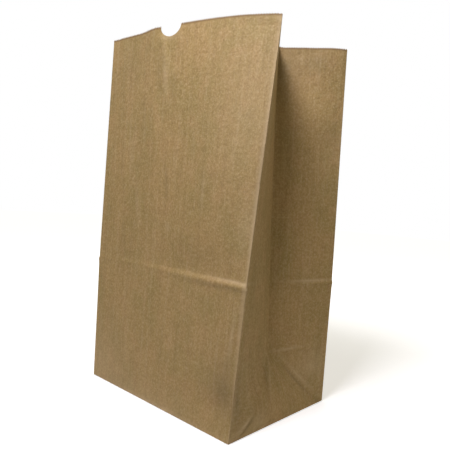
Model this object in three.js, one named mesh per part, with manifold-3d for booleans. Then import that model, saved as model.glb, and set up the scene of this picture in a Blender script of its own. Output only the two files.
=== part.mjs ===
import * as THREE from 'three';
import { mergeVertices } from 'three/addons/utils/BufferGeometryUtils.js';
import Module from 'manifold-3d';

// A brown kraft lunch bag with a square bottom, standing open. One sheet of paper makes it all:
// a front and a back wall, a pleat folded inward at each side, and flaps that close the bottom.
// The front wall faces -Y and +Z is up.

// Driving dimensions, in millimetres
const bagWidth = 152;
const bagDepth = 96;
const bagHeight = 259;
const paperThickness = 0.12;
const pleatPaper = 98;
const apexHeight = 47.5;
const toothPitch = 1.7;
const toothDepth = 0.9;
const notchWidth = 19;
const notchDepth = 6.5;
const notchPlace = 0.452;
const seamPlace = 66;
const seamLap = 14;
const flapReach = 60;

// The paper leans as it stands: shifts of each upright edge, in x and y, from its base corner.
// The base is a little out of square, so the rear corners sit further right.
const rearSkew = 2.7;
const edges = {
  frontLeft: {
    base: [-bagWidth / 2, -bagDepth / 2],
    creaseHeight: 96,
    atCrease: [-0.2, 1.0],
    atRim: [3.0, 3.5],
  },
  frontRight: {
    base: [bagWidth / 2, -bagDepth / 2],
    creaseHeight: 95.7,
    atCrease: [0.3, 6.3],
    atRim: [-1.5, 23.7],
  },
  rearRight: {
    base: [bagWidth / 2 + rearSkew, bagDepth / 2],
    creaseHeight: 93.8,
    atCrease: [1.5, -2.1],
    atRim: [-2.1, -1.1],
  },
  rearLeft: {
    base: [-bagWidth / 2 + rearSkew, bagDepth / 2],
    creaseHeight: 93.8,
    atCrease: [-1.3, -2.0],
    atRim: [-0.7, -4.2],
  },
};

// How far the middle of each wall swells out at the rim, and a soft upright ridge beside the notch.
// A swell with a sharpness of 1 comes to a peak, one of 2 is a round arch and one of 3 is flatter.
// It grows from the crease to the rim as the power swellGrowth of the height.
const frontSwell = 9.2;
const frontSharpness = { left: 1.2, right: 3 };
const rearSwell = 8.5;
const rearSharpness = 2;
const swellGrowth = 1.2;
const ridgeSwell = 2.0;
const ridgePlace = 0.345;
const ridgeSpread = 0.07;
const ridgeEnds = 4;

// The turn-up crease stands proud by this much on each panel, and fades over creaseReach
const creaseReach = 3;
const creaseProud = { frontAtLeft: 0.3, frontAtRight: 0.8, pleat: 0.4, rear: 0.4 };

// Mesh density: columns across a wall and across half a pleat, rows between the folds
const wallColumns = 14;
const halfPleatColumns = 6;
const lowerRows = 4;
const upperRows = 12;
const toothStripHeight = 5;

const { lerp } = THREE.MathUtils;

// Rows of the sheet: the foot reaches the pleats' apex, the lower part the turn-up crease and
// the upper part the rim
const lowerSpan = edges.frontLeft.creaseHeight - apexHeight;
const upperSpan = bagHeight - edges.frontLeft.creaseHeight;
const valleyPart = 1 - toothDepth / upperSpan;
const stripPart = 1 - toothStripHeight / upperSpan;

function evenRows(zone, count, first, last) {
  return Array.from({ length: count }, (_, i) => ({ zone, part: lerp(first, last, i / count) }));
}

const rows = [
  ...evenRows('foot', halfPleatColumns, 0, 1),
  ...evenRows('lower', lowerRows, 0, 1 - creaseReach / lowerSpan),
  { zone: 'lower', part: 1 - creaseReach / lowerSpan },
  { zone: 'upper', part: 0 },
  ...evenRows('upper', upperRows, creaseReach / upperSpan, stripPart),
  { zone: 'upper', part: stripPart },
];

function paperHeight(row, edge) {
  if (row.zone === 'foot') return row.part * apexHeight;
  if (row.zone === 'lower') return lerp(apexHeight, edge.creaseHeight, row.part);
  return lerp(edge.creaseHeight, bagHeight, row.part);
}

// An upright edge is straight from the base to the crease and from the crease to the rim.
// Its paper keeps its length, so a lean takes a little off the height.
function edgePoint(edge, row) {
  const height = paperHeight(row, edge);
  const [baseX, baseY] = edge.base;
  const [creaseX, creaseY] = edge.atCrease;
  const [rimX, rimY] = edge.atRim;
  const lowerRise = Math.sqrt(edge.creaseHeight ** 2 - creaseX ** 2 - creaseY ** 2);
  if (height <= edge.creaseHeight) {
    const part = height / edge.creaseHeight;
    return new THREE.Vector3(baseX + creaseX * part, baseY + creaseY * part, lowerRise * part);
  }
  const upperLength = bagHeight - edge.creaseHeight;
  const part = (height - edge.creaseHeight) / upperLength;
  const upperRise = Math.sqrt(upperLength ** 2 - (rimX - creaseX) ** 2 - (rimY - creaseY) ** 2);
  return new THREE.Vector3(
    baseX + lerp(creaseX, rimX, part),
    baseY + lerp(creaseY, rimY, part),
    lowerRise + upperRise * part,
  );
}

// Plan direction that points out of the bag, for a panel that runs from one edge to the next,
// anticlockwise seen from above
function outwardOf(from, to) {
  return new THREE.Vector3(to.y - from.y, from.x - to.x, 0).normalize();
}

// Walls
function swellAcross(across, sharpness) {
  return 1 - Math.abs(2 * across - 1) ** sharpness;
}

function frontSwellAt(across) {
  const sharpness = across < 0.5 ? frontSharpness.left : frontSharpness.right;
  const ridge = ridgeSwell * Math.exp(-(((across - ridgePlace) / ridgeSpread) ** 2));
  return frontSwell * swellAcross(across, sharpness) + ridge * swellAcross(across, ridgeEnds);
}

function rearSwellAt(across) {
  return rearSwell * swellAcross(across, rearSharpness);
}

function wallPoint(from, to, swellAt, across, row) {
  const start = edgePoint(from, row);
  const end = edgePoint(to, row);
  const growth = row.zone === 'upper' ? row.part ** swellGrowth : 0;
  const swell = outwardOf(start, end).multiplyScalar(swellAt(across) * growth);
  return start.clone().lerp(end, across).add(swell);
}

// Pleats. Above the apex each half is as wide as half the pleat's paper, which sets how deep
// the centre fold lies. Below it a flat triangle leans in from the base, and its two folds run
// from the base corners to the apex, a little bowed.
function foldPoint(from, to, row) {
  const start = edgePoint(from, row);
  const end = edgePoint(to, row);
  const halfOpening = start.distanceTo(end) / 2;
  const depth = Math.sqrt((pleatPaper / 2) ** 2 - halfOpening ** 2);
  const fold = start.clone().lerp(end, 0.5).addScaledVector(outwardOf(start, end), -depth);
  const apexStart = edgePoint(from, { zone: 'foot', part: 1 });
  const apexEnd = edgePoint(to, { zone: 'foot', part: 1 });
  const apexDepth = Math.sqrt((pleatPaper / 2) ** 2 - (apexStart.distanceTo(apexEnd) / 2) ** 2);
  fold.z -= (apexStart.z + apexEnd.z) / 2 - Math.sqrt(apexHeight ** 2 - apexDepth ** 2);
  return fold;
}

function facetPoint(from, to, across, part) {
  const foot = { zone: 'foot', part: 0 };
  const start = edgePoint(from, foot);
  const end = edgePoint(to, foot);
  const middle = start.clone().lerp(end, 0.5);
  const apex = foldPoint(from, to, { zone: 'foot', part: 1 });
  return start.clone().lerp(end, across).addScaledVector(apex.sub(middle), part);
}

function pleatPoint(pleat, across, row) {
  const { from, to, bowAtStart, bowAtEnd } = pleat;
  const start = edgePoint(from, row);
  const end = edgePoint(to, row);
  let firstFold;
  let secondFold;
  let firstAcross = 0.5;
  if (row.zone === 'foot') {
    const bow = Math.sin(Math.PI * Math.sqrt(row.part));
    firstFold = facetPoint(from, to, row.part / 2 + bowAtStart * bow, row.part);
    secondFold = facetPoint(from, to, 1 - row.part / 2 - bowAtEnd * bow, row.part);
    firstAcross = row.part / 2;
  } else {
    firstFold = foldPoint(from, to, row);
    secondFold = firstFold;
  }
  const secondAcross = 1 - firstAcross;
  if (across < firstAcross) return start.lerp(firstFold, across / firstAcross);
  if (across > secondAcross) return end.lerp(secondFold, (1 - across) / firstAcross);
  const middleSpan = secondAcross - firstAcross;
  return firstFold.lerp(secondFold, middleSpan > 0 ? (across - firstAcross) / middleSpan : 0);
}

const { frontLeft, frontRight, rearRight, rearLeft } = edges;
const rightPleat = { from: frontRight, to: rearRight, bowAtStart: 0.12, bowAtEnd: 0.045 };
const leftPleat = { from: rearLeft, to: frontLeft, bowAtStart: 0.05, bowAtEnd: 0.05 };

// The glued seam runs up the rear wall, where one edge of the sheet laps over the other.
// Outside, the upper layer steps up at its cut edge and settles back beyond the lap.
// Inside, the lower layer's cut edge shows at the other side of the lap.
const seamStep = 0.3;
const seamSettle = 10;
const seamStops = [0, seamStep, seamLap, seamLap + seamStep, seamLap + seamSettle];

function seamRise(stops, along) {
  const [start, full, hold, end] = stops;
  if (along <= start || along >= end) return 0;
  if (along < full) return (paperThickness * (along - start)) / (full - start);
  if (along <= hold) return paperThickness;
  return (paperThickness * (end - along)) / (end - hold);
}

function outerSeamRise(across) {
  const stops = [0, seamStep, seamLap + seamStep, seamLap + seamSettle];
  return seamRise(stops, across * bagWidth - seamPlace);
}

function innerSeamRise(across) {
  const stops = [seamLap, seamLap + seamStep, seamLap + seamStep, seamLap + seamSettle];
  return seamRise(stops, across * bagWidth - seamPlace);
}

// Columns stand at even stops across a panel, and on the rear wall also at the seam's own lines,
// where the even ones nearer than closestStop give way. The front wall has the same columns.
const closestStop = 0.015;
const evenStops = (count) => Array.from({ length: count + 1 }, (_, i) => i / count);
const seamWallStops = seamStops.map((along) => (seamPlace + along) / bagWidth);
const clearOfSeam = (stop) => seamWallStops.every((seam) => Math.abs(stop - seam) > closestStop);
const rearStops = [...evenStops(wallColumns).filter(clearOfSeam), ...seamWallStops].sort((a, b) => a - b);
const frontStops = rearStops.map((stop) => 1 - stop).reverse();
const pleatStops = evenStops(2 * halfPleatColumns);

const wallTeeth = Math.round(bagWidth / toothPitch);
const pleatTeeth = 2 * Math.round(pleatPaper / toothPitch / 2);
const plain = () => 0;

const panels = [
  {
    stops: frontStops,
    teeth: wallTeeth,
    point: (across, row) => wallPoint(frontLeft, frontRight, frontSwellAt, across, row),
    creaseProud: (across) => lerp(creaseProud.frontAtLeft, creaseProud.frontAtRight, across),
    outerRise: plain,
    innerRise: plain,
  },
  {
    stops: pleatStops,
    teeth: pleatTeeth,
    point: (across, row) => pleatPoint(rightPleat, across, row),
    creaseProud: () => creaseProud.pleat,
    outerRise: plain,
    innerRise: plain,
  },
  {
    stops: rearStops,
    teeth: wallTeeth,
    point: (across, row) => wallPoint(rearRight, rearLeft, rearSwellAt, across, row),
    creaseProud: () => creaseProud.rear,
    outerRise: outerSeamRise,
    innerRise: innerSeamRise,
  },
  {
    stops: pleatStops,
    teeth: pleatTeeth,
    point: (across, row) => pleatPoint(leftPleat, across, row),
    creaseProud: () => creaseProud.pleat,
    outerRise: plain,
    innerRise: plain,
  },
];

// The middle surface of the sheet: one list of points and one list of outward triangles.
// Each point carries how far its outer and inner skins are raised beyond half the thickness.
const sheet = { points: [], outerRise: [], innerRise: [], triangles: [] };

function addPoint(point, outerRise = 0, innerRise = 0) {
  sheet.points.push(point);
  sheet.outerRise.push(outerRise);
  sheet.innerRise.push(innerRise);
  return sheet.points.length - 1;
}

function addTriangle(a, b, c) {
  if (a !== b && b !== c && a !== c) sheet.triangles.push([a, b, c]);
}

// One row of points round the whole bag; a panel's last point is the next panel's first
function addRing(row, stopsOf) {
  const onCrease = row.zone === 'upper' && row.part === 0 ? 1 : 0;
  const aboveBase = row.zone === 'foot' && row.part === 0 ? 0 : 1;
  const rings = panels.map((panel) =>
    stopsOf(panel).slice(0, -1).map(({ across, rowHere }) => {
      const crease = onCrease * panel.creaseProud(across);
      return {
        across,
        id: addPoint(
          panel.point(across, rowHere ?? row),
          crease + aboveBase * panel.outerRise(across),
          crease + aboveBase * panel.innerRise(across),
        ),
      };
    }),
  );
  return rings.map((ring, i) => [...ring, { across: 1, id: rings[(i + 1) % rings.length][0].id }]);
}

const plainStops = (panel) => panel.stops.map((across) => ({ across }));

// The pinked rim: a zigzag of two points to a tooth, low at the panels' edges and folds
function toothStops(panel) {
  return Array.from({ length: 2 * panel.teeth + 1 }, (_, i) => ({
    across: i / (2 * panel.teeth),
    rowHere: { zone: 'upper', part: i % 2 ? 1 : valleyPart },
  }));
}

const rings = rows.map((row) => addRing(row, plainStops));
const rimRing = addRing({ zone: 'upper', part: 1 }, toothStops);

// Between two plain rings each cell is split along the slope of the pleats' lower folds
for (let r = 0; r + 1 < rings.length; r++) {
  panels.forEach((panel, p) => {
    const low = rings[r][p];
    const high = rings[r + 1][p];
    for (let c = 0; c + 1 < low.length; c++) {
      const [a, b, d, e] = [low[c].id, low[c + 1].id, high[c].id, high[c + 1].id];
      if (low[c].across < 0.5) {
        addTriangle(a, b, e);
        addTriangle(a, e, d);
      } else {
        addTriangle(a, b, d);
        addTriangle(b, e, d);
      }
    }
  });
}

// Between the last plain ring and the teeth the cells are unequal, so each step advances
// whichever row is behind
const roundingSlack = 1e-9;
rings.at(-1).forEach((low, p) => {
  const high = rimRing[p];
  let l = 0;
  let h = 0;
  while (l + 1 < low.length || h + 1 < high.length) {
    const lowDone = l + 1 === low.length;
    const lowMiddle = lowDone ? 1 : (low[l].across + low[l + 1].across) / 2 + roundingSlack;
    const highBehind = h + 1 < high.length && high[h + 1].across <= lowMiddle;
    if (highBehind) {
      addTriangle(low[l].id, high[h + 1].id, high[h].id);
      h += 1;
    } else {
      addTriangle(low[l].id, low[l + 1].id, high[h].id);
      l += 1;
    }
  }
});

// The bottom: a flat grid whose border is the first ring
const [frontRing, rightRing, rearRing, leftRing] = rings[0];
const columnsAcross = frontRing.length - 1;
const columnsDeep = rightRing.length - 1;
const bottom = frontRing.map((front, i) => {
  const rear = rearRing[columnsAcross - i];
  return rightRing.map((side, j) => {
    if (j === 0) return front.id;
    if (j === columnsDeep) return rear.id;
    if (i === 0) return leftRing[columnsDeep - j].id;
    if (i === columnsAcross) return side.id;
    const start = sheet.points[front.id];
    return addPoint(start.clone().lerp(sheet.points[rear.id], side.across));
  });
});
for (let i = 0; i < columnsAcross; i++) {
  for (let j = 0; j < columnsDeep; j++) {
    addTriangle(bottom[i][j], bottom[i][j + 1], bottom[i + 1][j]);
    addTriangle(bottom[i + 1][j], bottom[i][j + 1], bottom[i + 1][j + 1]);
  }
}

// Thickness: each point moves out until it stands the wanted distance off every face round it,
// so the two skins keep the paper's thickness through the folds
const mitreSweeps = 40;
const longestMitre = 3;
const facesAt = sheet.points.map(() => []);
for (const [a, b, c] of sheet.triangles) {
  const [pa, pb, pc] = [a, b, c].map((id) => sheet.points[id]);
  const normal = pb.clone().sub(pa).cross(pc.clone().sub(pa)).normalize();
  [a, b, c].forEach((id) => facesAt[id].push(normal));
}

function mitredOffset(normals, distance) {
  const offset = normals.reduce((sum, normal) => sum.add(normal), new THREE.Vector3());
  offset.setLength(distance);
  for (let sweep = 0; sweep < mitreSweeps; sweep++) {
    for (const normal of normals) offset.addScaledVector(normal, distance - normal.dot(offset));
  }
  return offset.clampLength(0, longestMitre * distance);
}

const skins = [
  { sign: 1, rise: sheet.outerRise },
  { sign: -1, rise: sheet.innerRise },
].map(({ sign, rise }) =>
  sheet.points.map((point, id) =>
    point.clone()
      .add(mitredOffset(facesAt[id], paperThickness / 2).multiplyScalar(sign))
      .add(mitredOffset(facesAt[id], 1).setLength(1).multiplyScalar(rise[id])),
  ),
);

const corners = [];
const pushTriangle = (a, b, c) => corners.push(a, b, c);
for (const [a, b, c] of sheet.triangles) {
  pushTriangle(skins[0][a], skins[0][b], skins[0][c]);
  pushTriangle(skins[1][a], skins[1][c], skins[1][b]);
}
for (const ring of rimRing) {
  for (let i = 0; i + 1 < ring.length; i++) {
    const [a, b] = [ring[i].id, ring[i + 1].id];
    pushTriangle(skins[0][a], skins[0][b], skins[1][b]);
    pushTriangle(skins[0][a], skins[1][b], skins[1][a]);
  }
}
const shellGeometry = new THREE.BufferGeometry().setFromPoints(corners);

// Solids for joining and cutting
const weldDistance = 1e-5;
const wasm = await Module();
wasm.setup();

function toSolid(geometry) {
  const bare = geometry.clone();
  bare.deleteAttribute('normal');
  bare.deleteAttribute('uv');
  const merged = mergeVertices(bare, weldDistance);
  return new wasm.Manifold(new wasm.Mesh({
    numProp: 3,
    vertProperties: Float32Array.from(merged.attributes.position.array),
    triVerts: Uint32Array.from(merged.index.array),
  }));
}

function toGeometry(solid) {
  const mesh = solid.getMesh();
  const geometry = new THREE.BufferGeometry();
  geometry.setAttribute('position', new THREE.BufferAttribute(mesh.vertProperties, 3));
  geometry.setIndex(new THREE.BufferAttribute(mesh.triVerts, 1));
  return geometry;
}

// The bottom flaps: one folds in from the front edge and one from the rear, cut at 45 degrees
// at their ends, and the rear one is glued over the front one. Each is one layer of paper.
const flapBite = 0.03;
const flapInset = 0.1;

function flap(cornerLeft, cornerRight, inward, layer) {
  const reach = inward * flapReach;
  const shape = new THREE.Shape([
    new THREE.Vector2(cornerLeft[0] + flapInset, cornerLeft[1]),
    new THREE.Vector2(cornerRight[0] - flapInset, cornerRight[1]),
    new THREE.Vector2(cornerRight[0] - flapReach, cornerRight[1] + reach),
    new THREE.Vector2(cornerLeft[0] + flapReach, cornerLeft[1] + reach),
  ]);
  const depth = paperThickness + flapBite;
  const geometry = new THREE.ExtrudeGeometry(shape, { depth, bevelEnabled: false });
  return geometry.translate(0, 0, -paperThickness * (0.5 + layer));
}

const frontFlap = flap(frontLeft.base, frontRight.base, 1, 1);
const rearFlap = flap(rearLeft.base, rearRight.base, -1, 2);

// The thumb notch: a half-round cut through the front wall's rim. The cutter flares out above
// the paper, and reaches through the swell of the wall.
const notchSpan = 30;
const cutterFlare = 1;
const cutterRise = 3;
const rimRow = { zone: 'upper', part: 1 };
const notchCentre = wallPoint(frontLeft, frontRight, frontSwellAt, notchPlace, rimRow);
const notchShape = new THREE.Shape();
notchShape.moveTo(-notchWidth / 2 - cutterFlare, cutterRise);
notchShape.lineTo(-notchWidth / 2, 0);
notchShape.absellipse(0, 0, notchWidth / 2, notchDepth, Math.PI, 2 * Math.PI, false);
notchShape.lineTo(notchWidth / 2 + cutterFlare, cutterRise);
const notchCutter = new THREE.ExtrudeGeometry(notchShape, {
  depth: notchSpan,
  bevelEnabled: false,
  curveSegments: 9,
});
notchCutter.rotateX(Math.PI / 2);
notchCutter.translate(notchCentre.x, notchCentre.y + notchSpan / 2, notchCentre.z - toothDepth);

const bagSolid = toSolid(shellGeometry)
  .add(toSolid(frontFlap))
  .add(toSolid(rearFlap))
  .subtract(toSolid(notchCutter));

// The origin is under the middle of the bag, on the surface that it stands on
const bagGeometry = toGeometry(bagSolid);
bagGeometry.computeBoundingBox();
const box = bagGeometry.boundingBox;
bagGeometry.translate(-(box.min.x + box.max.x) / 2, -(box.min.y + box.max.y) / 2, -box.min.z);

const kraftPaper = new THREE.MeshStandardMaterial({
  color: 0xb0926a,
  roughness: 0.85,
  metalness: 0,
  side: THREE.DoubleSide,
  flatShading: true,
});

const paperBag = new THREE.Mesh(bagGeometry, kraftPaper);
paperBag.name = 'paper_bag';

const lunchBag = new THREE.Group();
lunchBag.add(paperBag);

export default lunchBag;
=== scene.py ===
# %% [markdown]
# A brown paper lunch bag
#
# This lesson dresses one real object: a lunch bag of brown kraft paper, standing open on a table.
# The bag is one sheet of paper, so it is modelled the way it is made. A flat bottom is laid out,
# the walls are drawn up from its border, the rim is cut with small teeth and a thumb notch, and then
# the paper is folded: pleats at the sides, a turn-up crease round the bag, and a slight lean.
# Every length is a real one, in metres, with z up.

# %% Start from the fixed frame
from math import cos, pi, radians, sin

import bpy
import numpy as np
from mathutils import Matrix, Vector, noise
from mathutils.bvhtree import BVHTree


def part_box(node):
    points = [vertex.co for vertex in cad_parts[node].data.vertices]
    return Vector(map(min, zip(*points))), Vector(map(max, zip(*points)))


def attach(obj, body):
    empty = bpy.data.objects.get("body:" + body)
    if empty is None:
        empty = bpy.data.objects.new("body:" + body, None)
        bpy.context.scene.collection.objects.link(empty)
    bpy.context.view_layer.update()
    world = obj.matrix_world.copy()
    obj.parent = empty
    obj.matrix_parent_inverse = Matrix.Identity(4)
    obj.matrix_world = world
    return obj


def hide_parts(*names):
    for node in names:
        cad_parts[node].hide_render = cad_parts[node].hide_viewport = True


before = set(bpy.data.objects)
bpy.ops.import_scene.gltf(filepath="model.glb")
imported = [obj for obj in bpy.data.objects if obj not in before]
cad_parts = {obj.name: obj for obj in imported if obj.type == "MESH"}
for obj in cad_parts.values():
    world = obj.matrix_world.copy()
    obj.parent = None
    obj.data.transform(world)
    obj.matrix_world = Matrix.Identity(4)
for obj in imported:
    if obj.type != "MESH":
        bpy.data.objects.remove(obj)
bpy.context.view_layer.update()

mm = 0.001


bpy.ops.object.select_all(action="DESELECT")

# %% [markdown]
# The bag's own sizes. The first group is what a ruler would measure on the paper laid flat. The
# notch's place is a part of the front wall's width, and the seam's place is a length along the rear
# wall. The second group says how each upright edge leans once the bag stands: how far it has moved
# in x and y from the corner below it, at the turn-up crease and at the rim. Everything below is
# worked out from these, so that one change here changes the whole bag.

# %% Sizes of the paper
bag_width = 152 * mm
bag_depth = 96 * mm
bag_height = 259 * mm
paper_thickness = 0.12 * mm
pleat_paper = 98 * mm
apex_height = 47.5 * mm
tooth_depth = 0.9 * mm
tooth_pitch = 1.7 * mm
notch_width = 19 * mm
notch_depth = 6.5 * mm
notch_place = 0.452
seam_place = 66 * mm
seam_lap = 14 * mm
flap_reach = 60 * mm
rear_skew = 2.7 * mm
half_width, half_depth = bag_width / 2, bag_depth / 2
print("the sheet laid flat is", round((2 * (bag_width + pleat_paper) + seam_lap) / mm), "mm wide")

# %% How the upright edges lean
edges = {
    "front_left": {
        "base": (-half_width, -half_depth),
        "crease": 96 * mm,
        "at_crease": (-0.2 * mm, 1.0 * mm),
        "at_rim": (3.0 * mm, 3.5 * mm),
    },
    "front_right": {
        "base": (half_width, -half_depth),
        "crease": 95.7 * mm,
        "at_crease": (0.3 * mm, 6.3 * mm),
        "at_rim": (-1.5 * mm, 23.7 * mm),
    },
    "rear_right": {
        "base": (half_width + rear_skew, half_depth),
        "crease": 93.8 * mm,
        "at_crease": (1.5 * mm, -2.1 * mm),
        "at_rim": (-2.1 * mm, -1.1 * mm),
    },
    "rear_left": {
        "base": (-half_width + rear_skew, half_depth),
        "crease": 93.8 * mm,
        "at_crease": (-1.3 * mm, -2.0 * mm),
        "at_rim": (-0.7 * mm, -4.2 * mm),
    },
}
crease_height = edges["front_left"]["crease"]
print("the turn-up crease is", round(crease_height / mm, 1), "mm up the front left edge")

# %% [markdown]
# The camera comes first, because every look at the bag is judged through it. It stands a little
# over a third of a metre away, to the right of the front wall and level with the bag's middle. It
# could be aimed at a point, but that keeps it upright, and this one is rolled a little, so the
# directions to its right and ahead of it are given. Its frame is shifted, as when a picture is
# cropped to one side.

# %% Camera
camera_place = Vector((0.25549, -0.2416, 0.1423))
camera_right = Vector((0.7873, 0.6121, 0.0743)).normalized()
camera_ahead = Vector((-0.6073, 0.7907, -0.0774)).normalized()
camera_up = camera_right.cross(camera_ahead).normalized()
camera_turn = Matrix((camera_right, camera_up, -camera_ahead)).transposed()

camera_data = bpy.data.cameras.new("camera")
camera_data.lens = 36.58
camera_data.sensor_width = 36.0
camera_data.shift_x = -0.1444
camera_data.shift_y = 0.0444
camera_data.clip_start = 0.01
camera = bpy.data.objects.new("camera", camera_data)
bpy.context.scene.collection.objects.link(camera)
camera.matrix_world = Matrix.Translation(camera_place) @ camera_turn.to_4x4()
bpy.context.scene.camera = camera
print("camera stands", round(camera_place.length, 3), "m from the origin")

# %% [markdown]
# Two sets of small helpers do the same jobs for every step below. One reads or writes the places of
# all vertices at once, which is how a folded shape can be given by a formula. The other opens edit
# mode with just the wanted vertices, edges or faces selected. By hand they would be clicked, and in
# a script they are found by where they lie, so that the choice still holds when a size changes.

# %% Reading and writing a mesh
def read(items, name, width=1, kind=float):
    """One value of all the vertices, edges, faces or corners, in rows where it has several numbers."""
    found = np.empty(width * len(items), kind)
    items.foreach_get(name, found)
    return found.reshape(-1, width) if width > 1 else found


def places(piece):
    return read(piece.data.vertices, "co", 3)


def set_places(piece, wanted):
    piece.data.vertices.foreach_set("co", np.ascontiguousarray(wanted).ravel())
    piece.data.update()


def edge_ends(piece):
    """The two vertex numbers of each edge."""
    return read(piece.data.edges, "vertices", 2, int)


def face_middles(piece):
    return read(piece.data.polygons, "center", 3)


# %% Opening edit mode
SELECT_MODES = {"VERT": (True, False, False), "EDGE": (False, True, False), "FACE": (False, False, True)}
hair = 0.1 * mm
speck = 0.01 * mm


def mark(piece, kind, chosen):
    """Leaves only the chosen vertices, edges or faces of a piece marked as selected."""
    bpy.context.view_layer.objects.active = piece
    bpy.context.tool_settings.mesh_select_mode = SELECT_MODES[kind]
    lists = {"VERT": piece.data.vertices, "EDGE": piece.data.edges, "FACE": piece.data.polygons}
    for name, items in lists.items():
        items.foreach_set("select", chosen if name == kind else np.zeros(len(items), bool))


def open_with(piece, kind, chosen):
    mark(piece, kind, chosen)
    bpy.ops.object.mode_set(mode="EDIT")


def close_edit():
    bpy.ops.object.mode_set(mode="OBJECT")


print("exact places match within", round(speck / mm, 3), "mm, and others within", round(hair / mm, 3), "mm")

# %% [markdown]
# The flat sheet. A real bag starts as a tube with a rectangular bottom, so the mesh does too: a
# grid of the bottom's size, whose border is extruded straight up, one row at a time. A box with
# subdivided sides would do as well, but here the rows can be as close as each height needs. The
# columns are one tooth of the rim wide, so that each can carry a tooth. The rows are close together
# in the band where the turn-up crease runs, and as close as the columns below the pleats' apex, so
# that the slanting folds there pass through the corners of cells.

# %% The bottom, as a grid of one tooth pitch
wall_columns = round(bag_width / tooth_pitch)
pleat_columns = 2 * round(pleat_paper / tooth_pitch / 2)
bpy.ops.mesh.primitive_grid_add(x_subdivisions=wall_columns, y_subdivisions=pleat_columns, size=1)
bag = bpy.context.object
bag.name = bag.data.name = "kraft_sheet"
bpy.ops.object.mode_set(mode="EDIT")
bpy.ops.transform.resize(value=(bag_width, bag_depth, 1))
close_edit()
print("bottom:", len(bag.data.polygons), "cells for", wall_columns, "x", pleat_columns, "teeth")

# %% The walls, drawn up from the bottom's border
crease_band = 5 * mm
tooth_strip = 8 * mm
valley_height = bag_height - tooth_depth
# Each stop is a height and the number of rows that lead up to it
row_stops = [
    (0, 0),
    (apex_height, pleat_columns // 2),
    (crease_height - crease_band, 21),
    (crease_height + crease_band, 14),
    (bag_height - tooth_strip, 68),
    (valley_height, 5),
]
row_heights = [0]
for (low, _), (high, count) in zip(row_stops, row_stops[1:]):
    row_heights += list(np.linspace(low, high, count + 1)[1:])

bpy.ops.object.mode_set(mode="EDIT")
bpy.ops.mesh.select_all(action="SELECT")
bpy.ops.mesh.region_to_loop()
for low, high in zip(row_heights, row_heights[1:]):
    bpy.ops.mesh.extrude_region_move(TRANSFORM_OT_translate={"value": (0, 0, high - low)})
close_edit()
print("straight bag:", len(row_heights) - 1, "rows,", len(bag.data.polygons), "faces")

# %% The bottom's inner cells become one flat face
bottom_faces = face_middles(bag)[:, 2] < hair
open_with(bag, "FACE", bottom_faces)
bpy.ops.mesh.dissolve_faces()
bpy.ops.mesh.select_all(action="SELECT")
bpy.ops.mesh.normals_make_consistent(inside=False)
close_edit()
print("after joining the bottom's cells:", len(bag.data.polygons), "faces")

# %% [markdown]
# The pinked rim. Bags are cut from the roll with a toothed knife, so the rim is a row of small
# points. A picture of teeth on a straight rim would look flat from the side, so they are modelled.
# Each rim edge is split in the middle, and the new corner between two columns is lifted to become
# the tip of a tooth.

# %% Teeth
before = len(bag.data.vertices)
height_of = places(bag)[:, 2]
rim_edges = (height_of[edge_ends(bag)] > valley_height - hair).all(axis=1)
open_with(bag, "EDGE", rim_edges)
bpy.ops.mesh.subdivide(number_cuts=1)
close_edit()
straight = places(bag)
straight[before:, 2] = bag_height
set_places(bag, straight)
print("teeth:", len(straight) - before)

# %% [markdown]
# The thumb notch is punched out of the front wall while the paper is flat. An oval cylinder is set
# through the wall, its crossing with the wall is cut in, and the faces inside the oval go. A
# Boolean modifier needs a closed body, and the sheet is still open, so the cut is made in edit mode.

# %% Where the notch is
notch_centre = Vector((bag_width * (notch_place - 0.5), -half_depth, valley_height))


def across_notch(points):
    """1 on the notch's outline and less inside it, for points of the flat front wall."""
    sideways = (points[:, 0] - notch_centre.x) / (notch_width / 2)
    downward = np.minimum(points[:, 2] - notch_centre.z, 0) / notch_depth
    return np.hypot(sideways, downward)


print("the notch is centred", round(notch_centre.x / mm, 1), "mm from the middle of the front wall")

# %% The punch, set through the wall
punch_sides = 72
punch_length = 20 * mm
bpy.ops.object.select_all(action="DESELECT")
bpy.ops.mesh.primitive_cylinder_add(
    vertices=punch_sides,
    radius=1,
    depth=1,
    end_fill_type="NOTHING",
    location=notch_centre,
    rotation=(radians(90), 0, 0),
    scale=(notch_width / 2, notch_depth, punch_length),
)
bpy.ops.object.mode_set(mode="EDIT")
bpy.ops.mesh.select_all(action="SELECT")
close_edit()
mark(bag, "FACE", np.zeros(len(bag.data.polygons), bool))
bag.select_set(True)
bpy.ops.object.join()
bpy.ops.object.mode_set(mode="EDIT")
bpy.ops.mesh.intersect(mode="SELECT_UNSELECT", separate_mode="CUT", solver="EXACT")
close_edit()
print("faces with the punch cut in:", len(bag.data.polygons))

# %% The notch and the punch come out
middles = face_middles(bag)
from_wall = np.abs(middles[:, 1] + half_depth)
near_notch = (np.abs(middles[:, 0] - notch_centre.x) < notch_width) & (middles[:, 2] > bag_height / 2)
punch_faces = near_notch & (from_wall > speck) & (from_wall < punch_length)
punched_out = near_notch & (from_wall <= speck) & (across_notch(middles) < 1)
open_with(bag, "FACE", punch_faces | punched_out)
bpy.ops.mesh.delete(type="FACE")
bpy.ops.mesh.select_all(action="SELECT")
bpy.ops.mesh.remove_doubles(threshold=speck)
close_edit()
print("faces punched out:", int(punched_out.sum()), "of the wall,", int(punch_faces.sum()), "of the punch")

# %% [markdown]
# The glued seam. Up the rear wall one edge of the paper laps over the other, and a step as high as
# the paper is thick shows at the cut edge. A second strip of paper could be laid on, but its skin
# would lie against the wall's own. So lines of vertices are cut in along the lap with the bisect
# tool, two of them at the cut edge, and the step, raised later, can be as narrow as it really is.
# The lines at the lap's other edge are left flat.

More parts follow.
